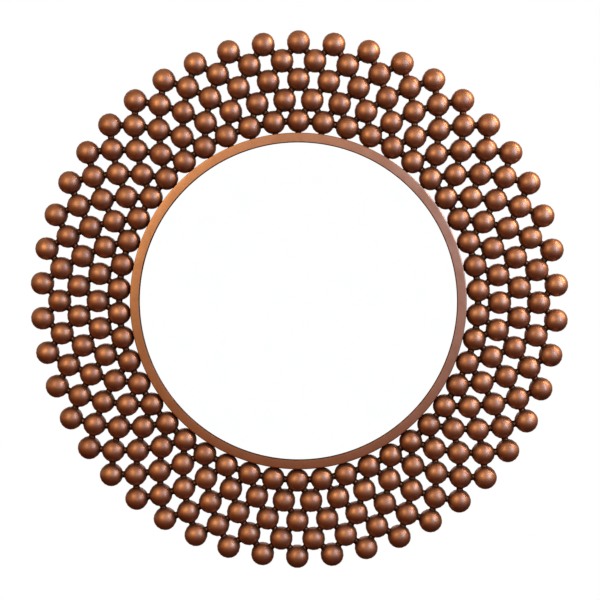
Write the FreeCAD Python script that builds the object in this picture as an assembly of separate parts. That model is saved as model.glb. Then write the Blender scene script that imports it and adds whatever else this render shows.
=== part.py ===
import FreeCAD, Part
import math
import os

# Round wall mirror. Hollow metal beads, welded bead to bead, stand in five courses round a flat metal
# rim, and the rim holds the glass. Lengths are in millimetres.
# The pieces are made face up: X to the right, Y to the top of the mirror, Z to the viewer, wall at Z = 0.
# On export they are stood up, so that the mirror faces -Y, its top is +Z and the wall is at Y = 0.

# Bead courses
BEADS_PER_COURSE = 46
COURSE_COUNT = 5
BEAD_DIAMETER = 40.0
BEAD_WALL = 1.0
BEAD_GAP = 1.67
BEAD_WALL_CLEARANCE = 3.0

# Welds from bead to bead and from bead to rim
RIM_WELD_GAP = 0.8
WELD_SIDES = 12
WELD_DIAMETER = 11.5
WELD_CROWN_SHARE = 0.5
WELD_WAIST_SHARE = 0.38
WELD_SEAT_GAP = 0.1

# Rim: a flat face ring on a rolled hoop
FACE_WIDTH = 16.0
FACE_THICKNESS = 4.0
FACE_EDGE_RADIUS = 0.8
FACE_LEAD = 14.0
HOOP_WALL = 2.5
HOOP_WALL_CLEARANCE = 1.0

# Gasket, glass, filler sheet and backing board, stacked behind the face ring
GASKET_THICKNESS = 1.0
GASKET_SETBACK = 2.0
GLASS_THICKNESS = 4.0
GLASS_ARRIS = 0.5
GLASS_CLEARANCE = 1.5
FILLER_THICKNESS = 12.0
FILLER_CLEARANCE = 3.0
BOARD_THICKNESS = 5.0
BOARD_CLEARANCE = 1.0

# Clips that hold the board, each with one screw into the hoop
CLIP_COUNT = 6
CLIP_WIDTH = 14.0
CLIP_REACH = 14.0
CLIP_THICKNESS = 1.2
CLIP_BEND_RADIUS = 1.0
CLIP_SEAT_GAP = 0.1
CLIP_SETBACK = 1.0
CLIP_HEAD_MARGIN = 0.9
CLIP_SCREW_DIAMETER = 3.5
CLIP_SCREW_HEAD_DIAMETER = 6.0
CLIP_SCREW_HEAD_HEIGHT = 2.2
CLIP_SCREW_END_SETBACK = 0.2

# Hangers: a strap with a rolled eye, and a ring that swings in the eye
HANGER_SPACING = 300.0
HANGER_HEIGHT = 130.0
HANGER_WALL_GAP = 2.0
STRAP_WIDTH = 16.0
STRAP_THICKNESS = 1.5
STRAP_HOLE_SPACING = 15.0
RING_WIRE_DIAMETER = 4.0
RING_CORNER_RADIUS = 4.0
RING_SIDE_LENGTH = 2.0
EYE_CLEARANCE = 0.3
EYE_END_GAP = 2.0
HANGER_SCREW_DIAMETER = 3.5
HANGER_SCREW_HEAD_DIAMETER = 7.0
HANGER_SCREW_HEAD_HEIGHT = 2.4
HANGER_SCREW_HEAD_GAP = 1.5
HANGER_SCREW_PAST_BOARD = 3.5
SCREW_TIP_LENGTH = 1.5

# Fits and drive recesses that all screws share
SCREW_HOLE_CLEARANCE = 0.3
SCREW_PILOT_GAP = 0.05
SCREW_TIP_GAP = 0.3
SLOT_WIDTH = 1.0
SLOT_DEPTH = 1.2
SLOT_LENGTH_SHARE = 0.6
HEAD_RIM_SHARE = 0.35

# Rubber bumpers that keep the mirror off the wall
BUMPER_ANGLES = (30, 150, 210, 330)
BUMPER_EDGE_MARGIN = 60.0
BUMPER_BASE_DIAMETER = 22.0
BUMPER_WALL_DIAMETER = 18.0
BUMPER_EDGE_RADIUS = 1.5

CUT_OVERRUN = 1.0

# Bead lattice: each bead stands one pitch from its neighbours
BEAD_RADIUS = BEAD_DIAMETER / 2
BEAD_PITCH = BEAD_DIAMETER + BEAD_GAP
HALF_STEP = math.pi / BEADS_PER_COURSE
FIRST_COURSE_RADIUS = BEAD_PITCH / (2 * math.sin(HALF_STEP))

# Rim radii, from the inner course inwards
HOOP_RADIUS = FIRST_COURSE_RADIUS - BEAD_RADIUS - RIM_WELD_GAP
HOOP_BORE_RADIUS = HOOP_RADIUS - HOOP_WALL
FACE_BORE_RADIUS = HOOP_RADIUS - FACE_WIDTH
GLASS_RADIUS = HOOP_BORE_RADIUS - GLASS_CLEARANCE
BOARD_RADIUS = HOOP_BORE_RADIUS - BOARD_CLEARANCE

# Ring and strap of a hanger, measured from the axis of the eye
RING_WIRE_RADIUS = RING_WIRE_DIAMETER / 2
EYE_BORE_RADIUS = RING_WIRE_RADIUS + EYE_CLEARANCE
EYE_RADIUS = EYE_BORE_RADIUS + STRAP_THICKNESS
RING_BAR_HALF = STRAP_WIDTH / 2 + EYE_END_GAP
RING_HALF_WIDTH = RING_BAR_HALF + RING_CORNER_RADIUS
RING_BOW_DROP = RING_CORNER_RADIUS + RING_SIDE_LENGTH
RING_REACH = RING_BOW_DROP + RING_HALF_WIDTH + RING_WIRE_RADIUS
UPPER_HOLE_DROP = RING_REACH + HANGER_SCREW_HEAD_GAP + HANGER_SCREW_HEAD_DIAMETER / 2
LOWER_HOLE_DROP = UPPER_HOLE_DROP + STRAP_HOLE_SPACING

# Depth of the rim: room behind the board for the clips and hangers, then the stack up to the face
CLIP_ROOM = CLIP_SETBACK + CLIP_SCREW_HEAD_DIAMETER + 2 * CLIP_HEAD_MARGIN + CLIP_THICKNESS
HANGER_ROOM = 2 * EYE_RADIUS + HANGER_WALL_GAP - HOOP_WALL_CLEARANCE
BOARD_RECESS = max(CLIP_ROOM, HANGER_ROOM)
GLASS_STACK = BOARD_THICKNESS + FILLER_THICKNESS + GLASS_THICKNESS + GASKET_THICKNESS
RIM_DEPTH = BOARD_RECESS + GLASS_STACK + FACE_THICKNESS

# Levels above the wall, from the back to the front, with the hoop and the beads both clear of the wall
HOOP_BACK = max(HOOP_WALL_CLEARANCE, BEAD_WALL_CLEARANCE + BEAD_RADIUS + FACE_LEAD - RIM_DEPTH)
CLIP_BACK = HOOP_BACK + CLIP_SETBACK
CLIP_SCREW_LEVEL = CLIP_BACK + CLIP_HEAD_MARGIN + CLIP_SCREW_HEAD_DIAMETER / 2
BOARD_BACK = HOOP_BACK + BOARD_RECESS
EYE_LEVEL = BOARD_BACK - EYE_RADIUS
BOARD_FRONT = BOARD_BACK + BOARD_THICKNESS
GLASS_BACK = BOARD_FRONT + FILLER_THICKNESS
GLASS_FRONT = GLASS_BACK + GLASS_THICKNESS
FACE_BACK = GLASS_FRONT + GASKET_THICKNESS
FACE_FRONT = FACE_BACK + FACE_THICKNESS
BEAD_LEVEL = FACE_FRONT - FACE_LEAD

ORIGIN = FreeCAD.Vector(0, 0, 0)
X_AXIS = FreeCAD.Vector(1, 0, 0)
Y_AXIS = FreeCAD.Vector(0, 1, 0)
Z_AXIS = FreeCAD.Vector(0, 0, 1)
FULL_TURN = 360
QUARTER_TURN = 90
SIDES = {"left": -1, "right": 1}


def line(start, end):
    """Straight edge between two points."""
    return Part.LineSegment(start, end).toShape()


def arc(start, middle, end):
    """Round edge through three points."""
    return Part.Arc(start, middle, end).toShape()


def disc(radius, back, front):
    """Round plate on the mirror's axis, between two levels."""
    return Part.makeCylinder(radius, front - back, FreeCAD.Vector(0, 0, back))


def flat_ring(radius, bore_radius, back, front):
    """Plate with a round bore, on the mirror's axis."""
    bore = disc(bore_radius, back - CUT_OVERRUN, front + CUT_OVERRUN)
    return disc(radius, back, front).cut(bore)


def on_circle(radius, angle, level):
    """Point on a circle about the mirror's axis, with the angle clockwise from the top."""
    return FreeCAD.Vector(radius * math.sin(angle), radius * math.cos(angle), level)


def placed(shape, position, rotation=FreeCAD.Rotation()):
    """Copy of a shape that was made at the origin, moved to its place."""
    copy = shape.copy()
    copy.Placement = FreeCAD.Placement(position, rotation)
    return copy


def turned(shape, angle):
    """Copy of a shape that was made at the top of the mirror, turned clockwise about the axis."""
    copy = shape.copy()
    copy.rotate(ORIGIN, Z_AXIS, -math.degrees(angle))
    return copy


def course_radius(course):
    """Radius of a course, counted from zero at the rim."""
    radius = FIRST_COURSE_RADIUS
    for _ in range(course):
        across = radius * math.sin(HALF_STEP)
        radius = radius * math.cos(HALF_STEP) + math.sqrt(BEAD_PITCH**2 - across**2)
    return radius


def bead_centres(course):
    """Centres of a course's beads, where every second course is half a step round."""
    shift = course % 2
    radius = course_radius(course)
    return [on_circle(radius, (2 * i + shift) * HALF_STEP, BEAD_LEVEL) for i in range(BEADS_PER_COURSE)]


def bead():
    """Hollow ball at the origin."""
    return Part.makeSphere(BEAD_RADIUS).cut(Part.makeSphere(BEAD_RADIUS - BEAD_WALL))


def bead_course(course):
    """All beads of one course."""
    ball = bead()
    return Part.makeCompound([placed(ball, centre) for centre in bead_centres(course)])


def flat_sided(profile):
    """Solid with flat sides round the Z axis, from (radius, height) pairs that run from end to end."""
    turns = [2 * math.pi * i / WELD_SIDES for i in range(WELD_SIDES)]
    rings = [[FreeCAD.Vector(r * math.cos(t), r * math.sin(t), z) for t in turns] for r, z in profile]
    outlines = [rings[0], rings[-1]]
    for lower, upper in zip(rings, rings[1:]):
        outlines += [[lower[i - 1], lower[i], upper[i], upper[i - 1]] for i in range(WELD_SIDES)]
    faces = [Part.Face(Part.makePolygon(points + points[:1])) for points in outlines]
    return Part.makeSolid(Part.makeShell(faces))


def bead_seat(bead_distance, radius):
    """Distance along a weld's axis at which the weld meets a bead, at a radius from that axis."""
    return bead_distance - math.sqrt((BEAD_RADIUS + WELD_SEAT_GAP) ** 2 - radius**2)


def cupped_end(bead_distance):
    """End of a weld that takes a bead: its rim and its flat crown, as (radius, height) pairs."""
    foot = WELD_DIAMETER / 2
    flat = foot * math.cos(math.pi / WELD_SIDES)
    rim = (foot, bead_seat(bead_distance, flat))
    crown = (foot * WELD_CROWN_SHARE, bead_seat(bead_distance, 0))
    return rim, crown


def waist_between(start, end):
    """Waist of a weld, midway between its two rims."""
    (foot, low), (_, high) = start, end
    return foot - (high - low) * WELD_WAIST_SHARE, (low + high) / 2


def bead_weld():
    """Weld between two beads, on the Z axis: a cupped end on each bead and a waist."""
    rim, crown = cupped_end(BEAD_PITCH / 2)
    far_rim, far_crown = ((radius, -height) for radius, height in (rim, crown))
    return flat_sided([far_crown, far_rim, waist_between(far_rim, rim), rim, crown])


def welds_between(pairs):
    """One weld midway between the two centres of each pair."""
    weld = bead_weld()
    spots = []
    for first, second in pairs:
        rotation = FreeCAD.Rotation(Z_AXIS, second - first)
        spots.append(placed(weld, (first + second) * 0.5, rotation))
    return Part.makeCompound(spots)


def inner_course_welds():
    """Welds that close the inner course into a ring."""
    centres = bead_centres(0)
    return welds_between(zip(centres, centres[1:] + centres[:1]))


def course_welds(course):
    """Welds from each bead of the next course to its two neighbours in this one."""
    inner = bead_centres(course)
    outer = bead_centres(course + 1)
    pairs = []
    for i, centre in enumerate(outer):
        first = i - course % 2
        pairs.append((inner[first], centre))
        pairs.append((inner[(first + 1) % BEADS_PER_COURSE], centre))
    return welds_between(pairs)


def rim_bead_welds():
    """Welds from the hoop to each bead of the inner course: a flat root on the hoop and a cupped end."""
    rim, crown = cupped_end(FIRST_COURSE_RADIUS)
    root = (WELD_DIAMETER / 2, HOOP_RADIUS + WELD_SEAT_GAP)
    weld = flat_sided([root, waist_between(root, rim), rim, crown])
    outwards = FreeCAD.Rotation(X_AXIS, -QUARTER_TURN)
    weld.Placement = FreeCAD.Placement(FreeCAD.Vector(0, 0, BEAD_LEVEL), outwards)
    return Part.makeCompound([turned(weld, 2 * i * HALF_STEP) for i in range(BEADS_PER_COURSE)])


def rim_face_ring():
    """Flat ring round the glass, with its two front edges eased."""
    ring = flat_ring(HOOP_RADIUS, FACE_BORE_RADIUS, FACE_BACK, FACE_FRONT)
    front_edges = [edge for edge in ring.Edges if edge.BoundBox.ZMin > FACE_FRONT - FACE_EDGE_RADIUS]
    return ring.makeFillet(FACE_EDGE_RADIUS, front_edges)


def clip_angles():
    """Angles of the clips, each midway between two beads of the inner course."""
    gaps = [BEADS_PER_COURSE * i // CLIP_COUNT for i in range(CLIP_COUNT)]
    return [(2 * gap + 1) * HALF_STEP for gap in gaps]


def at_clips(shape):
    """Copies of a shape that was made at the top, one at each clip."""
    return [turned(shape, angle) for angle in clip_angles()]


def clip_bore(clearance):
    """Cutter for a clip's screw, from the axis of the mirror out past the hoop."""
    start = FreeCAD.Vector(0, 0, CLIP_SCREW_LEVEL)
    return Part.makeCylinder(CLIP_SCREW_DIAMETER / 2 + clearance, HOOP_RADIUS + CUT_OVERRUN, start, Y_AXIS)


def rim_hoop():
    """Rolled strip behind the face ring, with holes for the clip screws."""
    hoop = flat_ring(HOOP_RADIUS, HOOP_BORE_RADIUS, HOOP_BACK, FACE_BACK)
    return hoop.cut(Part.makeCompound(at_clips(clip_bore(SCREW_PILOT_GAP))))


def clip_wall():
    """Distance from the mirror's axis to the back of a clip's flat upright, inside the round hoop."""
    corner = HOOP_BORE_RADIUS - CLIP_SEAT_GAP
    return math.sqrt(corner**2 - (CLIP_WIDTH / 2) ** 2)


def retaining_clips():
    """Bent clips: one leg on the board, one against the hoop."""
    wall = clip_wall()
    corner = FreeCAD.Vector(-CLIP_WIDTH / 2, wall - CLIP_REACH, BOARD_BACK - CLIP_THICKNESS)
    leg = Part.makeBox(CLIP_WIDTH, CLIP_REACH, CLIP_THICKNESS, corner)
    corner = FreeCAD.Vector(-CLIP_WIDTH / 2, wall - CLIP_THICKNESS, CLIP_BACK)
    upright = Part.makeBox(CLIP_WIDTH, CLIP_THICKNESS, BOARD_BACK - CLIP_BACK, corner)
    clip = leg.fuse(upright).removeSplitter()
    bend = FreeCAD.Vector(0, wall, BOARD_BACK)
    bend_edges = [edge for edge in clip.Edges if edge.CenterOfMass.isEqual(bend, CLIP_SEAT_GAP)]
    clip = clip.makeFillet(CLIP_BEND_RADIUS, bend_edges).cut(clip_bore(SCREW_HOLE_CLEARANCE))
    return Part.makeCompound(at_clips(clip))


def screw(shank_diameter, head_diameter, head_height, length):
    """Pan head screw: underside of the head at the origin, point towards +Z, cross recess."""
    shank = shank_diameter / 2
    head = head_diameter / 2
    rim = head_height * HEAD_RIM_SHARE
    rise = head_height - rim
    dome = (rise**2 + head**2) / (2 * rise)
    shoulder = dome - head_height - math.sqrt(dome**2 - (head / 2) ** 2)
    neck = length - min(SCREW_TIP_LENGTH, length)
    outline = [(head, -rim), (head, 0), (shank, 0), (shank, neck), (0, length), (0, -head_height)]
    corners = [FreeCAD.Vector(x, 0, z) for x, z in outline]
    edges = [line(start, end) for start, end in zip(corners, corners[1:])]
    edges.append(arc(corners[-1], FreeCAD.Vector(head / 2, 0, shoulder), corners[0]))
    body = Part.Face(Part.Wire(edges)).revolve(ORIGIN, Z_AXIS, FULL_TURN)
    slot_length = head_diameter * SLOT_LENGTH_SHARE
    depth = SLOT_DEPTH + CUT_OVERRUN
    start = FreeCAD.Vector(-slot_length / 2, -SLOT_WIDTH / 2, -head_height - CUT_OVERRUN)
    slot = Part.makeBox(slot_length, SLOT_WIDTH, depth, start)
    cross = slot.copy()
    cross.rotate(ORIGIN, Z_AXIS, QUARTER_TURN)
    return body.cut(slot.fuse(cross))


def clip_screws():
    """Screws through the clips into the hoop, ending inside its outer face."""
    seat = clip_wall() - CLIP_THICKNESS
    length = HOOP_RADIUS - CLIP_SCREW_END_SETBACK - seat
    fastener = screw(CLIP_SCREW_DIAMETER, CLIP_SCREW_HEAD_DIAMETER, CLIP_SCREW_HEAD_HEIGHT, length)
    outwards = FreeCAD.Rotation(X_AXIS, -QUARTER_TURN)
    fastener.Placement = FreeCAD.Placement(FreeCAD.Vector(0, seat, CLIP_SCREW_LEVEL), outwards)
    return Part.makeCompound(at_clips(fastener))


def glass_gasket():
    """Flat foam ring between the face ring and the glass."""
    return flat_ring(GLASS_RADIUS, FACE_BORE_RADIUS + GASKET_SETBACK, GLASS_FRONT, FACE_BACK)


def mirror_glass():
    """Silvered float glass disc with ground arrises."""
    glass = disc(GLASS_RADIUS, GLASS_BACK, GLASS_FRONT)
    round_edges = [edge for edge in glass.Edges if edge.Closed and len(edge.Vertexes) == 1]
    return glass.makeChamfer(GLASS_ARRIS, round_edges)


def hanger_holes():
    """Places of the hanger screws, at the level of the straps' outer faces."""
    level = BOARD_BACK - STRAP_THICKNESS
    drops = (UPPER_HOLE_DROP, LOWER_HOLE_DROP)
    return [hanger_place(side) + FreeCAD.Vector(0, -drop, level) for side in SIDES for drop in drops]


def hanger_place(side):
    """Middle of a hanger's eye, seen from the front."""
    return FreeCAD.Vector(SIDES[side] * HANGER_SPACING / 2, HANGER_HEIGHT, 0)


def hanger_screw_length():
    """Length of a hanger screw under its head."""
    return STRAP_THICKNESS + BOARD_THICKNESS + HANGER_SCREW_PAST_BOARD


def hanger_pilots():
    """Cutters for the holes that the hanger screws make in the board and the filler sheet."""
    radius = HANGER_SCREW_DIAMETER / 2 + SCREW_PILOT_GAP
    length = hanger_screw_length() + SCREW_TIP_GAP
    return Part.makeCompound([Part.makeCylinder(radius, length, place) for place in hanger_holes()])


def filler_sheet():
    """Foam disc that takes up the space between the glass and the board."""
    return disc(HOOP_BORE_RADIUS - FILLER_CLEARANCE, BOARD_FRONT, GLASS_BACK).cut(hanger_pilots())


def backing_board():
    """Fibreboard disc that carries the hangers and bumpers."""
    return disc(BOARD_RADIUS, BOARD_BACK, BOARD_FRONT).cut(hanger_pilots())


def hanger_strap(side):
    """Flat strap with a round foot, two screw holes and an eye rolled at its top."""
    middle = hanger_place(side)
    half = STRAP_WIDTH / 2
    back = BOARD_BACK - STRAP_THICKNESS
    plate = Part.makeBox(STRAP_WIDTH, LOWER_HOLE_DROP, STRAP_THICKNESS)
    plate.translate(middle + FreeCAD.Vector(-half, -LOWER_HOLE_DROP, back))
    foot = Part.makeCylinder(half, STRAP_THICKNESS, middle + FreeCAD.Vector(0, -LOWER_HOLE_DROP, back))
    eye = Part.makeCylinder(EYE_RADIUS, STRAP_WIDTH, middle + FreeCAD.Vector(-half, 0, EYE_LEVEL), X_AXIS)
    bore_start = middle + FreeCAD.Vector(-half - CUT_OVERRUN, 0, EYE_LEVEL)
    bore = Part.makeCylinder(EYE_BORE_RADIUS, STRAP_WIDTH + 2 * CUT_OVERRUN, bore_start, X_AXIS)
    hole_radius = HANGER_SCREW_DIAMETER / 2 + SCREW_HOLE_CLEARANCE
    depth = STRAP_THICKNESS + 2 * CUT_OVERRUN
    below = FreeCAD.Vector(0, 0, -CUT_OVERRUN)
    holes = [Part.makeCylinder(hole_radius, depth, place + below) for place in hanger_holes()]
    return plate.fuse([foot, eye]).removeSplitter().cut(Part.makeCompound([bore] + holes))


def hanger_ring(side):
    """D-shaped wire ring that hangs from its bar in the eye."""
    middle = hanger_place(side) + FreeCAD.Vector(0, 0, EYE_LEVEL)
    slant = RING_CORNER_RADIUS * math.sin(math.pi / 4)
    fall = RING_CORNER_RADIUS - slant

    def at(x, y):
        """Point of the ring's centre line, from the middle of its bar."""
        return middle + FreeCAD.Vector(x, y, 0)

    def half(sign):
        """Points of one side of the ring, from the bar round to the bow."""
        bar = at(sign * RING_BAR_HALF, 0)
        corner = at(sign * (RING_BAR_HALF + slant), -fall)
        side_top = at(sign * RING_HALF_WIDTH, -RING_CORNER_RADIUS)
        side_end = at(sign * RING_HALF_WIDTH, -RING_BOW_DROP)
        return bar, corner, side_top, side_end

    bar_end, corner, side_top, side_end = half(1)
    bar_start, far_corner, far_top, far_end = half(-1)
    bow = at(0, -RING_BOW_DROP - RING_HALF_WIDTH)
    edges = [
        line(bar_start, bar_end),
        arc(bar_end, corner, side_top),
        line(side_top, side_end),
        arc(side_end, bow, far_end),
        line(far_end, far_top),
        arc(far_top, far_corner, bar_start),
    ]
    section = Part.Wire(Part.makeCircle(RING_WIRE_RADIUS, bar_start, X_AXIS))
    return Part.Wire(edges).makePipeShell([section], True, False)


def hanger_screws():
    """Screws through the straps into the board."""
    length = hanger_screw_length()
    fastener = screw(HANGER_SCREW_DIAMETER, HANGER_SCREW_HEAD_DIAMETER, HANGER_SCREW_HEAD_HEIGHT, length)
    return Part.makeCompound([placed(fastener, place) for place in hanger_holes()])


def wall_bumpers():
    """Tapered rubber bumpers on the board, standing on the wall plane."""
    cone = Part.makeCone(BUMPER_WALL_DIAMETER / 2, BUMPER_BASE_DIAMETER / 2, BOARD_BACK)
    wall_edges = [edge for edge in cone.Edges if edge.BoundBox.ZMax < BUMPER_EDGE_RADIUS]
    bumper = cone.makeFillet(BUMPER_EDGE_RADIUS, wall_edges)
    radius = BOARD_RADIUS - BUMPER_EDGE_MARGIN
    places = [on_circle(radius, math.radians(angle), 0) for angle in BUMPER_ANGLES]
    return Part.makeCompound([placed(bumper, place) for place in places])


def pieces():
    """Every named piece of the mirror."""
    named = {
        "rim_face_ring": rim_face_ring(),
        "rim_hoop": rim_hoop(),
        "rim_bead_welds": rim_bead_welds(),
        "bead_welds_1_1": inner_course_welds(),
        "glass_gasket": glass_gasket(),
        "mirror_glass": mirror_glass(),
        "filler_sheet": filler_sheet(),
        "backing_board": backing_board(),
        "retaining_clips": retaining_clips(),
        "clip_screws": clip_screws(),
        "hanger_screws": hanger_screws(),
        "wall_bumpers": wall_bumpers(),
    }
    for course in range(COURSE_COUNT):
        named[f"bead_course_{course + 1}"] = bead_course(course)
    for course in range(COURSE_COUNT - 1):
        named[f"bead_welds_{course + 1}_{course + 2}"] = course_welds(course)
    for side in SIDES:
        named[f"{side}_hanger_strap"] = hanger_strap(side)
        named[f"{side}_hanger_ring"] = hanger_ring(side)
    return named


os.makedirs("parts", exist_ok=True)
for name, shape in pieces().items():
    shape.rotate(ORIGIN, X_AXIS, QUARTER_TURN)
    shape.exportStep(f"parts/{name}.step")
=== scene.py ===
"""Round wall mirror in a frame of welded copper beads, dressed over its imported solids.

Everything is in metres, in the frame of the solids: the mirror faces -Y, its top is +Z
and the wall is at Y = 0.
"""

import logging
import math
import random
from collections.abc import Callable, Iterator
from contextlib import contextmanager
from dataclasses import dataclass, field
from enum import Enum

import bmesh
import bpy
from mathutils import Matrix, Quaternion, Vector


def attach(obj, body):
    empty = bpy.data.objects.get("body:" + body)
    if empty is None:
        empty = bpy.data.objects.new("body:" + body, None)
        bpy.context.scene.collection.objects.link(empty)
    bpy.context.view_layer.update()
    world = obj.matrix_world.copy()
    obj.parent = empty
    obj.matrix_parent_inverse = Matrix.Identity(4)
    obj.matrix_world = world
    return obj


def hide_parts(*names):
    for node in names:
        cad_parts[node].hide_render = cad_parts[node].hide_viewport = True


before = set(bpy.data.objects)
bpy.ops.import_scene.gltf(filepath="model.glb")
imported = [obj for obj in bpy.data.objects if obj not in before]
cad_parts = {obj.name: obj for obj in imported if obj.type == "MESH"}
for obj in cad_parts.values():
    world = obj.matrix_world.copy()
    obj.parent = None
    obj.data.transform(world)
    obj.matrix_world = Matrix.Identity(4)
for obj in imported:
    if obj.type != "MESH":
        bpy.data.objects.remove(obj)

LOG = logging.getLogger("mirror")
MM = 0.001
FULL_TURN = 2 * math.pi
BODY = "mirror"
COPPER_SLOT = "copper_lacquer"
MERGE_DISTANCE = 0.001 * MM
WHITE = "#ffffff"

# Attributes that the copper finish reads: weld scorch with painted shade between the parts, from 0 to 1,
# and each bead's own tone
SCORCH_AND_PAINTED_SHADE = "scorch_and_painted_shade"
TONE = "bead_tone"

# Sockets of a Mix node that mixes colours
FACTOR, FIRST, SECOND, MIXED = 0, 6, 7, 2

# Nearly all values of a noise texture lie between these two
NOISE_LOW, NOISE_HIGH = 0.3, 0.7

# Radians that a wave texture of scale one turns through in a metre
WAVE_RATE = 20

Colour = tuple[float, float, float, float]


# Small helpers for objects, selections and nodes


def linear(code: str) -> Colour:
    """Turns an sRGB hex colour into linear RGBA.

    Args:
        code: Six hex digits, with or without a leading hash.

    Returns:
        Linear red, green and blue, with full alpha.
    """
    code = code.lstrip("#")
    channels = (int(code[i : i + 2], 16) / 255 for i in (0, 2, 4))
    red, green, blue = (c / 12.92 if c <= 0.04045 else ((c + 0.055) / 1.055) ** 2.4 for c in channels)
    return red, green, blue, 1.0


def add_node(
    tree: bpy.types.NodeTree, kind: str, inputs: dict | None = None, **settings: object
) -> bpy.types.Node:
    """Adds one node with its settings, input values and links.

    Args:
        tree: Node tree that takes the node.
        kind: Blender's identifier of the node.
        inputs: Input name or index to a value, or to the socket that feeds it.
        **settings: Attributes of the node.

    Returns:
        The new node.
    """
    node = tree.nodes.new(kind)
    for name, value in settings.items():
        setattr(node, name, value)
    for key, value in (inputs or {}).items():
        if isinstance(value, bpy.types.NodeSocket):
            tree.links.new(value, node.inputs[key])
        else:
            node.inputs[key].default_value = value
    return node


def deselect_all() -> None:
    """Leaves no object selected, so that an operator acts on the new piece alone."""
    for thing in bpy.context.selected_objects:
        thing.select_set(False)


def pick(*things: bpy.types.Object) -> None:
    """Selects these objects alone and makes the first one active.

    Args:
        *things: Objects to select.
    """
    deselect_all()
    for thing in things:
        thing.select_set(True)
    bpy.context.view_layer.objects.active = things[0]


@contextmanager
def editing(thing: bpy.types.Object) -> Iterator[None]:
    """Opens an object's mesh in edit mode with all of it selected, and closes it again.

    Args:
        thing: Object to edit.

    Returns:
        A context, inside which the mesh is open.
    """
    pick(thing)
    bpy.ops.object.mode_set(mode="EDIT")
    bpy.ops.mesh.select_all(action="SELECT")
    try:
        yield
    finally:
        bpy.ops.object.mode_set(mode="OBJECT")


def select_vertices(thing: bpy.types.Object, wanted: Callable[[Vector], bool]) -> None:
    """Selects vertices of the open mesh by their place, with the edges and faces between them.

    Args:
        thing: Object that is being edited.
        wanted: Test of a vertex's place.
    """
    bpy.ops.mesh.select_mode(type="VERT")
    bpy.ops.mesh.select_all(action="DESELECT")
    mesh = bmesh.from_edit_mesh(thing.data)
    for vertex in mesh.verts:
        vertex.select = wanted(vertex.co)
    mesh.select_flush(True)
    bmesh.update_edit_mesh(thing.data)


def select_edges(thing: bpy.types.Object, wanted: Callable[[Vector, Vector], bool]) -> None:
    """Selects edges of the open mesh by the places of their ends.

    Args:
        thing: Object that is being edited.
        wanted: Test of the places of an edge's two ends.
    """
    bpy.ops.mesh.select_mode(type="EDGE")
    bpy.ops.mesh.select_all(action="DESELECT")
    mesh = bmesh.from_edit_mesh(thing.data)
    for edge in mesh.edges:
        edge.select = wanted(edge.verts[0].co, edge.verts[1].co)
    bmesh.update_edit_mesh(thing.data)


def settle(thing: bpy.types.Object) -> None:
    """Puts an object's place, turn and scale into its mesh."""
    pick(thing)
    bpy.ops.object.transform_apply(location=True, rotation=True, scale=True)


def mark(thing: bpy.types.Object, name: str, values: list[float]) -> None:
    """Stores one value for each vertex in an attribute that a finish reads."""
    thing.data.attributes.new(name, "FLOAT", "POINT").data.foreach_set("value", values)


def copy_round(thing: bpy.types.Object, count: int) -> None:
    """Copies a mesh about the mirror's axis, so that it stands in a full circle.

    Args:
        thing: Object whose mesh is one member of the circle.
        count: Members in the whole circle.
    """
    with editing(thing):
        bpy.ops.mesh.spin(
            steps=count - 1,
            dupli=True,
            angle=FULL_TURN * (count - 1) / count,
            center=(0, 0, 0),
            axis=(0, 1, 0),
        )


def hand_over(thing: bpy.types.Object, name: str, finish: "Finish", slot: str, *nodes: str) -> None:
    """Names and dresses a finished piece, and lets it stand for its CAD nodes.

    Args:
        thing: The finished piece.
        name: Name of the piece.
        finish: Finish of its whole surface.
        slot: Material slot; not used.
        *nodes: CAD nodes that the piece replaces.
    """
    thing.name = name
    thing.data.name = name
    thing.data.materials.clear()
    thing.data.materials.append(finish.material())
    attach(thing, BODY)
    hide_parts(*nodes)
    LOG.info("%s: %d faces", name, len(thing.data.polygons))


def dress_node(name: str, finish: "Finish") -> None:
    """Gives a CAD node, whose shape stays, its finish.

    Args:
        name: Name of the CAD node.
        finish: Finish of its whole surface.
    """
    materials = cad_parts[name].data.materials
    materials.clear()
    materials.append(finish.material())
    LOG.info("%s: CAD shape, %s", name, finish.name)


# Finishes


@dataclass(frozen=True)
class Finish:
    """A material as the eye sees it. Each kind of finish fills in its own nodes."""

    name: str

    def material(self) -> bpy.types.Material:
        """Makes the material when it is first asked for.

        Returns:
            The material, the same one each time.
        """
        made = bpy.data.materials.get(self.name)
        if made is None:
            made = bpy.data.materials.new(self.name)
            made.use_nodes = True
            tree = made.node_tree
            tree.nodes.clear()
            shader = add_node(tree, "ShaderNodeBsdfPrincipled")
            add_node(tree, "ShaderNodeOutputMaterial", {"Surface": shader.outputs["BSDF"]})
            self.paint(tree, shader, add_node(tree, "ShaderNodeTexCoord").outputs["Object"])
        return made

    def paint(self, tree: bpy.types.NodeTree, shader: bpy.types.Node, place: bpy.types.NodeSocket) -> None:
        """Links the finish's pattern to its shader.

        Args:
            tree: The material's nodes.
            shader: Its Principled BSDF.
            place: Object coordinates, in metres.
        """
        raise NotImplementedError


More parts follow.
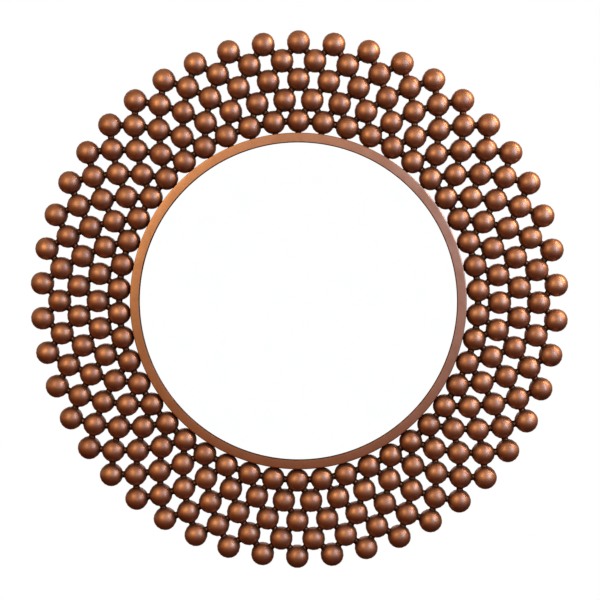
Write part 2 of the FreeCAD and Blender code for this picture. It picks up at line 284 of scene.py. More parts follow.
@dataclass(frozen=True)
class CopperLacquer(Finish):
    """Steel with a sprayed metallic copper lacquer, rubbed back.

    The eye sees a satin brown copper with soft, wide highlights, faint clouds where the coat is
    thicker, a fine metallic grain, and a darker, duller tint near the welds: weld scorch, deepened
    by painted shade in the hollows between the parts. The ring's bore takes the same painted shade,
    and a dark tint at grazing angles paints shade along every rim.
    """

    bright: str = "#c88259"
    clouded: str = "#ab6845"
    # near black, for weld scorch and for painted shade between the parts
    scorched_and_shaded: str = "#2a150c"
    # dark tint of the reflection at grazing angles: painted shade along the rims
    edge: str = "#472619"
    roughness: tuple[float, float] = (0.46, 0.54)
    cloud_mm: float = 17.0
    cloud_span: tuple[float, float] = (0.32, 0.72)
    grain_mm: float = 1.1
    grain_gain: tuple[float, float] = (0.9, 1.08)
    grain_strength: float = 0.05
    grain_depth_mm: float = 0.2
    wave_mm: float = 7.0
    wave_strength: float = 0.06
    wave_depth_mm: float = 1.0
    scorch_dulling: float = 0.18
    varnish: float = 1.0
    varnish_roughness: float = 0.33

    def paint(self, tree: bpy.types.NodeTree, shader: bpy.types.Node, place: bpy.types.NodeSocket) -> None:
        """Clouds and grain in the colour and gloss, and weld scorch with painted shade near the welds.

        Args:
            tree: The material's nodes.
            shader: Its Principled BSDF.
            place: Object coordinates, in metres.
        """
        clouds = add_node(
            tree,
            "ShaderNodeTexNoise",
            {"Vector": place, "Scale": 1 / (self.cloud_mm * MM), "Detail": 3.0, "Roughness": 0.55},
        ).outputs["Fac"]
        # the real flakes are a few hundredths of a millimetre, so the grain is drawn coarser to show at all
        grain = add_node(
            tree,
            "ShaderNodeTexNoise",
            {"Vector": place, "Scale": 1 / (self.grain_mm * MM), "Detail": 2.0},
        ).outputs["Fac"]
        waves = add_node(
            tree,
            "ShaderNodeTexNoise",
            {"Vector": place, "Scale": 1 / (self.wave_mm * MM), "Detail": 1.0},
        ).outputs["Fac"]
        scorch_shade = add_node(tree, "ShaderNodeAttribute", attribute_name=SCORCH_AND_PAINTED_SHADE).outputs["Fac"]
        tone = add_node(tree, "ShaderNodeAttribute", attribute_name=TONE).outputs["Fac"]
        thin, thick = self.cloud_span
        cloud_cover = add_node(
            tree,
            "ShaderNodeMapRange",
            {"Value": clouds, "From Min": thin, "From Max": thick},
            interpolation_type="SMOOTHSTEP",
        ).outputs["Result"]
        cover = add_node(
            tree, "ShaderNodeMath", {0: cloud_cover, 1: tone}, operation="ADD", use_clamp=True
        ).outputs[0]
        coat = add_node(
            tree,
            "ShaderNodeMix",
            {FACTOR: cover, FIRST: linear(self.bright), SECOND: linear(self.clouded)},
            data_type="RGBA",
        ).outputs[MIXED]
        dim, lit = self.grain_gain
        speck = add_node(
            tree,
            "ShaderNodeMapRange",
            {"Value": grain, "From Min": NOISE_LOW, "From Max": NOISE_HIGH, "To Min": dim, "To Max": lit},
        ).outputs["Result"]
        grained = add_node(
            tree,
            "ShaderNodeMix",
            {FACTOR: 1.0, FIRST: coat, SECOND: speck},
            data_type="RGBA",
            blend_type="MULTIPLY",
        ).outputs[MIXED]
        # painted shade: the colour runs towards the near-black scorch colour where the mask is high, for
        # weld scorch and for shade between the parts
        scorched_shaded = add_node(
            tree,
            "ShaderNodeMix",
            {FACTOR: scorch_shade, FIRST: grained, SECOND: linear(self.scorched_and_shaded)},
            data_type="RGBA",
        ).outputs[MIXED]
        low, high = self.roughness
        gloss = add_node(
            tree,
            "ShaderNodeMapRange",
            {"Value": clouds, "From Min": NOISE_LOW, "From Max": NOISE_HIGH, "To Min": low, "To Max": high},
        ).outputs["Result"]
        dulled = add_node(
            tree,
            "ShaderNodeMath",
            {0: scorch_shade, 1: self.scorch_dulling, 2: gloss},
            operation="MULTIPLY_ADD",
            use_clamp=True,
        ).outputs[0]
        wavy = add_node(
            tree,
            "ShaderNodeBump",
            {"Strength": self.wave_strength, "Distance": self.wave_depth_mm * MM, "Height": waves},
        ).outputs["Normal"]
        pitted = add_node(
            tree,
            "ShaderNodeBump",
            {
                "Strength": self.grain_strength,
                "Distance": self.grain_depth_mm * MM,
                "Height": grain,
                "Normal": wavy,
            },
        ).outputs["Normal"]
        varnished = add_node(
            tree,
            "ShaderNodeMapRange",
            {"Value": scorch_shade, "To Min": self.varnish, "To Max": 0.0},
        ).outputs["Result"]
        tree.links.new(scorched_shaded, shader.inputs["Base Color"])
        tree.links.new(dulled, shader.inputs["Roughness"])
        tree.links.new(varnished, shader.inputs["Coat Weight"])
        tree.links.new(pitted, shader.inputs["Normal"])
        shader.inputs["Metallic"].default_value = 1.0
        # painted shade: the dark edge tint darkens every rim at grazing angles
        shader.inputs["Specular Tint"].default_value = linear(self.edge)
        shader.inputs["Coat Roughness"].default_value = self.varnish_roughness


@dataclass(frozen=True)
class SilveredGlass(Finish):
    """Float glass, silvered behind: a clean reflection with a trace of green, and faint wiping marks."""

    silver: str = WHITE
    tinted: str = "#fdfffe"
    wipe_mm: float = 60.0

    def paint(self, tree: bpy.types.NodeTree, shader: bpy.types.Node, place: bpy.types.NodeSocket) -> None:
        """Wiping marks that change the tint very slightly, over a perfect gloss.

        Args:
            tree: The material's nodes.
            shader: Its Principled BSDF.
            place: Object coordinates, in metres.
        """
        marks = add_node(
            tree,
            "ShaderNodeTexNoise",
            {"Vector": place, "Scale": 1 / (self.wipe_mm * MM), "Detail": 5.0, "Distortion": 1.2},
        ).outputs["Fac"]
        tint = add_node(
            tree,
            "ShaderNodeMix",
            {FACTOR: marks, FIRST: linear(self.silver), SECOND: linear(self.tinted)},
            data_type="RGBA",
        ).outputs[MIXED]
        tree.links.new(tint, shader.inputs["Base Color"])
        shader.inputs["Roughness"].default_value = 0.0
        shader.inputs["Metallic"].default_value = 1.0


@dataclass(frozen=True)
class Fibreboard(Finish):
    """Pressed wood fibre: a dull tan face, flecked with darker and lighter fibres that lie every way."""

    tan: str = "#a98258"
    dark: str = "#6f4e30"
    pale: str = "#cdb08a"
    fibre_mm: tuple[float, float] = (4.5, 0.7)
    fibre_turns: tuple[float, float, float] = (0.35, 1.45, 2.5)  # radians
    fibre_stops: tuple[float, float] = (0.24, 0.42)
    fibre_relief: float = 0.25
    fibre_depth_mm: float = 0.2
    fleck_span: tuple[float, float] = (0.55, 0.75)
    fleck_cover: float = 0.75
    cloud_mm: float = 45.0
    cloud_gain: tuple[float, float] = (0.86, 1.06)
    roughness: float = 0.82

    def paint(self, tree: bpy.types.NodeTree, shader: bpy.types.Node, place: bpy.types.NodeSocket) -> None:
        """Three crossed sets of stretched noise for the fibres, over slow clouds.

        Args:
            tree: The material's nodes.
            shader: Its Principled BSDF.
            place: Object coordinates, in metres.
        """
        # real fibres are about a tenth of a millimetre wide, so they are drawn wider to show at all
        length, width = self.fibre_mm
        layers = []
        for turn in self.fibre_turns:
            turned = add_node(
                tree,
                "ShaderNodeMapping",
                {
                    "Vector": place,
                    "Rotation": (0.0, turn, 0.0),
                    "Scale": (length * MM, width * MM, width * MM),
                },
                vector_type="TEXTURE",
            ).outputs["Vector"]
            layers.append(
                add_node(
                    tree,
                    "ShaderNodeTexNoise",
                    {"Vector": turned, "Scale": 1.0, "Detail": 2.0, "Distortion": 0.6},
                ).outputs["Fac"]
            )
        clouds = add_node(
            tree, "ShaderNodeTexNoise", {"Vector": place, "Scale": 1 / (self.cloud_mm * MM), "Detail": 3.0}
        ).outputs["Fac"]
        crossed = add_node(
            tree, "ShaderNodeMath", {0: layers[0], 1: layers[1]}, operation="MINIMUM"
        ).outputs[0]
        shade = add_node(tree, "ShaderNodeValToRGB", {"Fac": crossed})
        stops = zip(shade.color_ramp.elements, self.fibre_stops, (self.dark, self.tan))
        for stop, position, colour in stops:
            stop.position = position
            stop.color = linear(colour)
        bare, full = self.fleck_span
        fleck = add_node(
            tree,
            "ShaderNodeMapRange",
            {"Value": layers[2], "From Min": bare, "From Max": full, "To Max": self.fleck_cover},
        ).outputs["Result"]
        flecked = add_node(
            tree,
            "ShaderNodeMix",
            {FACTOR: fleck, FIRST: shade.outputs["Color"], SECOND: linear(self.pale)},
            data_type="RGBA",
        ).outputs[MIXED]
        dim, lit = self.cloud_gain
        slow = add_node(
            tree,
            "ShaderNodeMapRange",
            {"Value": clouds, "From Min": NOISE_LOW, "From Max": NOISE_HIGH, "To Min": dim, "To Max": lit},
        ).outputs["Result"]
        face = add_node(
            tree,
            "ShaderNodeMix",
            {FACTOR: 1.0, FIRST: flecked, SECOND: slow},
            data_type="RGBA",
            blend_type="MULTIPLY",
        ).outputs[MIXED]
        relief = add_node(
            tree,
            "ShaderNodeBump",
            {"Strength": self.fibre_relief, "Distance": self.fibre_depth_mm * MM, "Height": crossed},
        ).outputs["Normal"]
        tree.links.new(face, shader.inputs["Base Color"])
        tree.links.new(relief, shader.inputs["Normal"])
        shader.inputs["Roughness"].default_value = self.roughness


@dataclass(frozen=True)
class PlatedSteel(Finish):
    """Bright plating on steel: a pale grey metal with soft cloudy gloss and fine scratches."""

    bright: str
    dull: str
    roughness: tuple[float, float]
    spangle_mm: float = 2.4
    scratch_mm: tuple[float, float] = (4.2, 0.35)
    scratch_relief: float = 0.08
    scratch_depth_mm: float = 0.05

    def paint(self, tree: bpy.types.NodeTree, shader: bpy.types.Node, place: bpy.types.NodeSocket) -> None:
        """Cells of plating with their own tone and gloss, and a bump of fine scratches.

        Args:
            tree: The material's nodes.
            shader: Its Principled BSDF.
            place: Object coordinates, in metres.
        """
        cells = add_node(
            tree, "ShaderNodeTexVoronoi", {"Vector": place, "Scale": 1 / (self.spangle_mm * MM)}
        ).outputs["Color"]
        spread = add_node(tree, "ShaderNodeSeparateColor", {"Color": cells}).outputs["Red"]
        tone = add_node(
            tree,
            "ShaderNodeMix",
            {FACTOR: spread, FIRST: linear(self.bright), SECOND: linear(self.dull)},
            data_type="RGBA",
        ).outputs[MIXED]
        low, high = self.roughness
        gloss = add_node(
            tree, "ShaderNodeMapRange", {"Value": spread, "To Min": low, "To Max": high}
        ).outputs["Result"]
        # real plating scratches are hairlines, so they are drawn wider to show at all
        length, width = (1 / (size * MM) for size in self.scratch_mm)
        stretched = add_node(
            tree, "ShaderNodeMapping", {"Vector": place, "Scale": (length, width, width)}
        ).outputs["Vector"]
        scratches = add_node(
            tree, "ShaderNodeTexNoise", {"Vector": stretched, "Scale": 1.0, "Detail": 1.0}
        ).outputs["Fac"]
        relief = add_node(
            tree,
            "ShaderNodeBump",
            {"Strength": self.scratch_relief, "Distance": self.scratch_depth_mm * MM, "Height": scratches},
        ).outputs["Normal"]
        tree.links.new(tone, shader.inputs["Base Color"])
        tree.links.new(gloss, shader.inputs["Roughness"])
        tree.links.new(relief, shader.inputs["Normal"])
        shader.inputs["Metallic"].default_value = 1.0


@dataclass(frozen=True)
class SoftBlack(Finish):
    """Moulded rubber or cut foam: near black and dull, with a fine pebble and a dusting of grey."""

    black: str
    dusty: str
    pebble_mm: float
    relief: float
    roughness: float
    relief_depth_mm: float = 0.2
    dust_pebbles: float = 8.0
    dust_span: tuple[float, float] = (0.4, 0.75)

    def paint(self, tree: bpy.types.NodeTree, shader: bpy.types.Node, place: bpy.types.NodeSocket) -> None:
        """Pebbles in the bump, and grey dust that lies on some of them.

        Args:
            tree: The material's nodes.
            shader: Its Principled BSDF.
            place: Object coordinates, in metres.
        """
        pebbles = add_node(
            tree, "ShaderNodeTexVoronoi", {"Vector": place, "Scale": 1 / (self.pebble_mm * MM)}
        ).outputs["Distance"]
        patch_mm = self.dust_pebbles * self.pebble_mm
        dust = add_node(
            tree, "ShaderNodeTexNoise", {"Vector": place, "Scale": 1 / (patch_mm * MM), "Detail": 4.0}
        ).outputs["Fac"]
        clean, covered = self.dust_span
        cover = add_node(
            tree, "ShaderNodeMapRange", {"Value": dust, "From Min": clean, "From Max": covered}
        ).outputs["Result"]
        tone = add_node(
            tree,
            "ShaderNodeMix",
            {FACTOR: cover, FIRST: linear(self.black), SECOND: linear(self.dusty)},
            data_type="RGBA",
        ).outputs[MIXED]
        relief = add_node(
            tree,
            "ShaderNodeBump",
            {"Strength": self.relief, "Distance": self.relief_depth_mm * MM, "Height": pebbles},
        ).outputs["Normal"]
        tree.links.new(tone, shader.inputs["Base Color"])
        tree.links.new(relief, shader.inputs["Normal"])
        shader.inputs["Roughness"].default_value = self.roughness


@dataclass(frozen=True)
class CorrugatedCard(Finish):
    """Kraft card: brown paper with fine fibres, ribbed by the flutes underneath."""

    kraft: str = "#b08a5c"
    shadow: str = "#94703f"
    flute_mm: float = 6.5
    flute_relief: float = 0.3
    flute_depth_mm: float = 0.3
    fibre_mm: float = 1.5
    roughness: float = 0.88

    def paint(self, tree: bpy.types.NodeTree, shader: bpy.types.Node, place: bpy.types.NodeSocket) -> None:
        """Bands for the flutes and a fine noise for the paper.

        Args:
            tree: The material's nodes.
            shader: Its Principled BSDF.
            place: Object coordinates, in metres.
        """
        flutes = add_node(
            tree,
            "ShaderNodeTexWave",
            {"Vector": place, "Scale": FULL_TURN / (WAVE_RATE * self.flute_mm * MM), "Distortion": 0.4},
            bands_direction="Z",
        ).outputs["Fac"]
        fibres = add_node(
            tree, "ShaderNodeTexNoise", {"Vector": place, "Scale": 1 / (self.fibre_mm * MM), "Detail": 3.0}
        ).outputs["Fac"]
        tone = add_node(
            tree,
            "ShaderNodeMix",
            {FACTOR: fibres, FIRST: linear(self.kraft), SECOND: linear(self.shadow)},
            data_type="RGBA",
        ).outputs[MIXED]
        relief = add_node(
            tree,
            "ShaderNodeBump",
            {"Strength": self.flute_relief, "Distance": self.flute_depth_mm * MM, "Height": flutes},
        ).outputs["Normal"]
        tree.links.new(tone, shader.inputs["Base Color"])
        tree.links.new(relief, shader.inputs["Normal"])
        shader.inputs["Roughness"].default_value = self.roughness


# sprayed over pressed balls: satin, with wide soft highlights under a clear varnish
BALL_COPPER = CopperLacquer("copper_lacquer_on_pressed_balls")
# sprayed over rolled strip: smoother and glossier, so the room shows in it as long soft bands
STRIP_COPPER = CopperLacquer(
    "copper_lacquer_on_rolled_strip",
    bright="#c98a63",
    clouded="#bc7d56",
    roughness=(0.28, 0.32),
    varnish=0.8,
    varnish_roughness=0.25,
    cloud_mm=26.0,
    wave_mm=14.0,
    wave_strength=0.03,
)
# sprayed thinly over rough, burnt weld metal: dark brown, lumpy, with small sharp glints
WELD_COPPER = CopperLacquer(
    "copper_lacquer_on_welds",
    bright="#a8714f",
    clouded="#6a3c28",
    roughness=(0.3, 0.4),
    varnish=0.2,
    cloud_mm=5.0,
    wave_mm=2.0,
    wave_strength=0.25,
)
# silvered float glass: a clean, bright reflection
MIRROR = SilveredGlass("silvered_float_glass")
# pressed wood fibre: a dull tan sheet with short crossed fibres
BOARD = Fibreboard("pressed_fibreboard")
# zinc on stamped clips, straps and screws: cool pale grey, half dull, cell by cell
ZINC = PlatedSteel("zinc_plate_on_stamped_steel", "#d6d9da", "#b6bbbd", (0.3, 0.44))
# nickel on drawn wire: warmer and much glossier than the zinc beside it
NICKEL = PlatedSteel("nickel_plate_on_drawn_wire", "#cfcac2", "#b7b1a8", (0.14, 0.24), spangle_mm=5.0)
# closed-cell foam: black and quite dull, with fine open pores on its cut face
FOAM = SoftBlack("black_closed_cell_foam", "#131314", "#2a2a2a", 0.7, 0.6, 0.92)
# moulded rubber: black with a slight sheen and a coarser, shallow pebble
RUBBER = SoftBlack("black_moulded_rubber", "#18181a", "#2e2d2c", 1.3, 0.25, 0.62)
# corrugated card: brown paper, ribbed by its flutes
CARD = CorrugatedCard("corrugated_kraft_card")


# Sub-assemblies


@dataclass(frozen=True)
class Lattice:
    """Places of the beads: five courses, each bead one pitch from its neighbours."""

    beads: int = 46
    courses: int = 5
    bead_radius: float = 20.0 * MM
    pitch: float = 41.67 * MM
    level: float = -23.0 * MM

    @property
    def half_step(self) -> float:
        """Half the angle from one bead of a course to the next."""
        return math.pi / self.beads

    def radius(self, course: int) -> float:
        """Radius of a course, which follows from the pitch to the course inside it.

        Args:
            course: Course, counted from zero at the rim.

        Returns:
            The radius to the beads' centres.
        """
        radius = self.pitch / (2 * math.sin(self.half_step))
        for _ in range(course):
            across = radius * math.sin(self.half_step)
            radius = radius * math.cos(self.half_step) + math.sqrt(self.pitch**2 - across**2)
        return radius

    def centre(self, course: int, steps: float = 0.0) -> Vector:
        """Centre of a bead.

        Args:
            course: Course, counted from zero at the rim.
            steps: Half steps clockwise from the course's first bead.

        Returns:
            The centre, in metres.
        """
        angle = (course % 2 + steps) * self.half_step
        radius = self.radius(course)
        return Vector((radius * math.sin(angle), self.level, radius * math.cos(angle)))

    def neighbours(self, course: int) -> list[Vector]:
        """Points that the first bead of a course is welded towards.

        Args:
            course: Course, counted from zero at the rim.

        Returns:
            Centres of the beads beside it, and for the inner course the rim's centre.
        """
        points = []
        for other in (course - 1, course + 1):
            if 0 <= other < self.courses:
                shift = course % 2 - other % 2
                points += [self.centre(other, shift + side) for side in (-1, 1)]
        if course == 0:
            points += [self.centre(0, -2), self.centre(0, 2), Vector((0, self.level, 0))]
        return points


@dataclass
class BeadFrame:
    """The open frame: five courses of pressed balls and the welds that join them."""

    lattice: Lattice = field(default_factory=Lattice)
    ball_cuts: int = 4
    # reach and depth of the darkening near the welds on the balls: weld scorch with painted shade between
    # them
    scorch_shade_reach: float = 11.0 * MM
    scorch_shade_level: float = 0.97
    tone_spread: float = 0.22
    weld_sides: int = 12
    weld_cuts: int = 4
    weld_foot: float = 6.7 * MM
    weld_sink: float = 0.3 * MM
    weld_bands: tuple[tuple[float, float], ...] = ((0.0, 0.4), (0.4, 0.8))
    weld_shares: tuple[float, ...] = (0.85, 0.83)
    # darkest value at the welds' feet: weld scorch with painted shade
    weld_scorch_shade: float = 0.97
    weld_roughness: float = 0.28 * MM
    weld_swell: float = 0.6
    hoop_radius: float = 284.5 * MM
    rim_weld_foot: float = 5.9 * MM

    def build(self) -> None:
        """Builds every course and every set of welds."""
        for course in range(self.lattice.courses):
            self.bead_course(course)
        for course in range(self.lattice.courses - 1):
            self.course_welds(course)
        self.inner_welds()
        self.rim_welds()

    def bead_course(self, course: int) -> None:
        """Builds one course of balls, from one ball that is shaped at its place.

        Args:
            course: Course, counted from zero at the rim.
        """
        centre = self.lattice.centre(course)
        radius = self.lattice.bead_radius
        deselect_all()
        bpy.ops.mesh.primitive_cube_add(size=2 * radius, location=centre)
        ball = bpy.context.object
        settle(ball)
        with editing(ball):
            bpy.ops.mesh.subdivide(number_cuts=self.ball_cuts)
            bpy.ops.transform.tosphere(value=1.0)
        swollen = (ball.data.vertices[0].co - centre).length
        with editing(ball):
            bpy.ops.transform.resize(value=(radius / swollen,) * 3, center_override=centre)
        self.mark_scorch_and_shade(ball, course)
        copy_round(ball, self.lattice.beads)
        self.vary_tone(ball, course)
        pick(ball)
        bpy.ops.object.shade_smooth()
        number = course + 1
        hand_over(ball, f"copper_beads_{number}", BALL_COPPER, COPPER_SLOT, f"bead_course_{number}")

    def mark_scorch_and_shade(self, ball: bpy.types.Object, course: int) -> None:
        """Marks how dark each point of a ball is painted near its welds: weld scorch, with painted shade
        between the balls.

        Args:
            ball: First ball of the course.
            course: Course, counted from zero at the rim.
        """
        centre = self.lattice.centre(course)
        ways = [(point - centre).normalized() for point in self.lattice.neighbours(course)]
        welds = [centre + way * self.lattice.bead_radius for way in ways]
        scorch_shade = []
        for vertex in ball.data.vertices:
            reaches = [(vertex.co - weld).length / self.scorch_shade_reach for weld in welds]
            # painted shade: the darkenings of all the welds add up, so the caps between two welds are
            # darkest
            scorch_shade.append(1 - math.prod(1 - self.scorch_shade_level * math.exp(-(reach**2)) for reach in reaches))
        mark(ball, SCORCH_AND_PAINTED_SHADE, scorch_shade)

    def vary_tone(self, ball: bpy.types.Object, course: int) -> None:
        """Gives each ball of a course its own shade of lacquer.

        Args:
            ball: The whole course of balls.
            course: Course, counted from zero at the rim.
        """
        draw = random.Random(course)
        tones = [draw.uniform(-self.tone_spread, self.tone_spread) for _ in range(self.lattice.beads)]
        each = len(ball.data.vertices) // self.lattice.beads
        values = [tone for tone in tones for _ in range(each)]
        mark(ball, TONE, values)

    def weld(self, start: Vector, end: Vector, foot: float) -> bpy.types.Object:
        """Builds one weld: a rounded nugget that flares into two feet.

        Args:
            start: Middle of its first foot.
            end: Middle of its second foot.
            foot: Radius of the feet.

        Returns:
            The weld, with its place in its mesh.
        """
        along = end - start
        deselect_all()
        bpy.ops.mesh.primitive_cylinder_add(vertices=self.weld_sides, radius=foot, depth=along.length)
        neck = bpy.context.object
        half = along.length / 2
        with editing(neck):
            select_edges(neck, lambda a, b: a.z * b.z < 0)
            bpy.ops.mesh.subdivide(number_cuts=self.weld_cuts)
            for share, (low, high) in zip(self.weld_shares, self.weld_bands):
                select_vertices(neck, lambda co: low * half <= abs(co.z) < high * half)
                bpy.ops.transform.resize(value=(share, share, 1), center_override=(0, 0, 0))
        # darker towards the feet, where the weld meets the balls: weld scorch with painted shade in the
        # crevice
        neck_scorch_shade = [self.weld_scorch_shade * (1 + abs(vertex.co.z) / half) / 2 for vertex in neck.data.vertices]
        mark(neck, SCORCH_AND_PAINTED_SHADE, neck_scorch_shade)
        neck.rotation_mode = "QUATERNION"
        neck.rotation_quaternion = along.to_track_quat("Z", "Y")
        neck.location = (start + end) / 2
        settle(neck)
        return neck

    def bead_weld(self, first: Vector, second: Vector) -> bpy.types.Object:
        """Builds the weld between two balls, with its feet sunk a little into them.

        Args:
            first: Centre of the first ball.
            second: Centre of the second ball.

        Returns:
            The weld, with its place in its mesh.
        """
        seat = math.sqrt(self.lattice.bead_radius**2 - self.weld_foot**2) - self.weld_sink
        way = (second - first).normalized()
        return self.weld(first + way * seat, second - way * seat, self.weld_foot)

    def finish_welds(self, necks: list[bpy.types.Object], name: str, node: str, seed: int) -> None:
        """Joins the welds of one bead, copies them round the frame and makes each a little uneven.

        Args:
            necks: Welds at the first bead of the course.
            name: Name of the finished piece.
            node: CAD node that it replaces.
            seed: Start of the unevenness.
        """
        pick(*necks)
        if len(necks) > 1:
            bpy.ops.object.join()
        welds = necks[0]
        copy_round(welds, self.lattice.beads)
        with editing(welds):
            bpy.ops.transform.vertex_random(offset=self.weld_roughness, normal=self.weld_swell, seed=seed)
            bpy.ops.mesh.normals_make_consistent(inside=False)
        pick(welds)
        bpy.ops.object.shade_smooth()
        hand_over(welds, name, WELD_COPPER, COPPER_SLOT, node)

    def course_welds(self, course: int) -> None:
        """Builds the welds from a course to the next one out.

        Args:
            course: Inner one of the two courses, counted from zero at the rim.
        """
        outer = self.lattice.centre(course + 1)
        shift = (course + 1) % 2 - course % 2
        inner = [self.lattice.centre(course, shift + side) for side in (-1, 1)]
        necks = [self.bead_weld(point, outer) for point in inner]
        pair = f"{course + 1}_{course + 2}"
        self.finish_welds(necks, f"copper_welds_{pair}", f"bead_welds_{pair}", course + 1)

    def inner_welds(self) -> None:
        """Builds the welds that close the inner course into a ring."""
        neck = self.bead_weld(self.lattice.centre(0), self.lattice.centre(0, 2))
        self.finish_welds([neck], "copper_welds_1_1", "bead_welds_1_1", self.lattice.courses)

    def rim_welds(self) -> None:
        """Builds the welds from the rim to each ball of the inner course."""
        centre = self.lattice.centre(0)
        reach = math.sqrt(self.lattice.bead_radius**2 - self.rim_weld_foot**2) - self.weld_sink
        root = Vector((0, centre.y, self.hoop_radius - self.weld_sink))
        neck = self.weld(root, centre - Vector((0, 0, reach)), self.rim_weld_foot)
        self.finish_welds([neck], "copper_welds_rim", "rim_bead_welds", self.lattice.courses + 1)


@dataclass
class Rim:
    """Flat face ring on a rolled hoop: each a flat bar, eased at its edges and rolled into a ring."""

    radius: float = 284.5 * MM
    face_width: float = 16.0 * MM
    face_levels: tuple[float, float] = (-37.0 * MM, -33.0 * MM)
    face_easings: tuple[float, float] = (1.2 * MM, 1.6 * MM)
    # darkness of the painted shade in the bore
    bore_painted_shade: float = 0.9
    bore_reach_share: float = 0.6
    hoop_wall: float = 2.5 * MM
    hoop_levels: tuple[float, float] = (-33.0 * MM, -1.0 * MM)
    hoop_easings: tuple[float, float] = (0.3 * MM, 0.3 * MM)
    rolling_steps: int = 240
    easing_steps: int = 3
    smooth_angle: float = math.radians(35)

    def build(self) -> None:
        """Builds the face ring and the hoop."""
        ring = self.rolled_bar(self.face_width, self.face_levels, self.face_easings)
        self.paint_bore_shade(ring)
        hand_over(ring, "copper_face_ring", STRIP_COPPER, COPPER_SLOT, "rim_face_ring")
        hoop = self.rolled_bar(self.hoop_wall, self.hoop_levels, self.hoop_easings)
        hand_over(hoop, "copper_hoop", STRIP_COPPER, COPPER_SLOT, "rim_hoop")

    def paint_bore_shade(self, ring: bpy.types.Object) -> None:
        """Marks painted shade on the ring's bore, in the attribute that also carries weld scorch.

        Args:
            ring: The face ring.
        """
        bore = self.radius - self.face_width + self.bore_reach_share * self.face_easings[0]
        reaches = [math.hypot(vertex.co.x, vertex.co.z) for vertex in ring.data.vertices]
        # painted shade: a dark line round the bore, where the ring meets the glass
        mark(ring, SCORCH_AND_PAINTED_SHADE, [self.bore_painted_shade if reach < bore else 0.0 for reach in reaches])

    def rolled_bar(
        self, width: float, levels: tuple[float, float], easings: tuple[float, float]
    ) -> bpy.types.Object:
        """Rolls a flat bar into a ring.

        Args:
            width: Width of the bar, inwards from the rim's radius.
            levels: Front and back of the bar.
            easings: Rounding of its inner and outer edges.

        Returns:
            The closed ring.
        """
        front, back = levels
        middle = Vector((self.radius - width / 2, (front + back) / 2, 0))
        deselect_all()
        bpy.ops.mesh.primitive_plane_add(size=1, location=middle)
        bar = bpy.context.object
        bar.scale = (width, back - front, 1)
        settle(bar)
        with editing(bar):
            for easing, side in zip(easings, (-1, 1)):
                select_vertices(bar, lambda co: (co.x - middle.x) * side > 0)
                bpy.ops.mesh.bevel(offset=easing, segments=self.easing_steps, affect="VERTICES")
            bpy.ops.mesh.select_all(action="SELECT")
            bpy.ops.mesh.delete(type="ONLY_FACE")
            bpy.ops.mesh.select_all(action="SELECT")
            bpy.ops.mesh.spin(steps=self.rolling_steps, angle=FULL_TURN, center=(0, 0, 0), axis=(0, 1, 0))
            bpy.ops.mesh.select_all(action="SELECT")
            bpy.ops.mesh.remove_doubles(threshold=MERGE_DISTANCE)
            bpy.ops.mesh.normals_make_consistent(inside=False)
        pick(bar)
        bpy.ops.object.shade_smooth_by_angle(angle=self.smooth_angle)
        # the broad faces keep their flatness and the eased edges take all the turn
        weighted = bar.modifiers.new("flat_faces", "WEIGHTED_NORMAL")
        weighted.mode = "FACE_AREA"
        bpy.ops.object.modifier_apply(modifier=weighted.name)
        return bar


@dataclass
class Glazing:
    """Glass and what holds it: solids whose shape is right, with their finishes."""

    finishes: dict[str, Finish] = field(
        default_factory=lambda: {
            "mirror_glass": MIRROR,
            "glass_gasket": FOAM,
            "filler_sheet": CARD,
            "backing_board": BOARD,
            "retaining_clips": ZINC,
            "clip_screws": ZINC,
            "wall_bumpers": RUBBER,
        }
    )

    def build(self) -> None:
        """Dresses each solid."""
        for node, finish in self.finishes.items():
            dress_node(node, finish)


class Side(Enum):
    """Side of the back that a hanger is on, as the mirror is looked at."""

    LEFT = "left"
    RIGHT = "right"


@dataclass
class Hangers:
    """Straps, screws and swinging rings on the back."""

    sides: tuple[Side, ...] = tuple(Side)

    def build(self) -> None:
        """Dresses each solid."""
        for side in self.sides:
            dress_node(f"{side.value}_hanger_strap", ZINC)
            dress_node(f"{side.value}_hanger_ring", NICKEL)
        dress_node("hanger_screws", ZINC)


# Studio


@dataclass(frozen=True)
class Lamp:
    """A soft rectangular lamp that points at the mirror."""

    name: str
    place: tuple[float, float, float]
    size: tuple[float, float]
    watts: float
    colour: str

    def build(self) -> None:
        """Adds the lamp, which the camera doesn't see."""
        deselect_all()
        bpy.ops.object.light_add(type="AREA", location=self.place)
        lamp = bpy.context.object
        lamp.name = self.name
        lamp.rotation_mode = "QUATERNION"
        lamp.rotation_quaternion = (-Vector(self.place)).to_track_quat("-Z", "Y")
        lamp.data.shape = "RECTANGLE"
        lamp.data.size, lamp.data.size_y = self.size
        lamp.data.energy = self.watts
        lamp.data.color = linear(self.colour)[:3]
        lamp.visible_camera = False


class Easing(Enum):
    """How a change runs from its start to its end."""

    EVEN = "LINEAR"
    SOFT = "SMOOTHSTEP"


@dataclass(frozen=True)
class Span:
    """Where the room's colour changes, along one axis of the direction that is looked in."""

    axis: str
    start: float
    end: float
    easing: Easing = Easing.SOFT


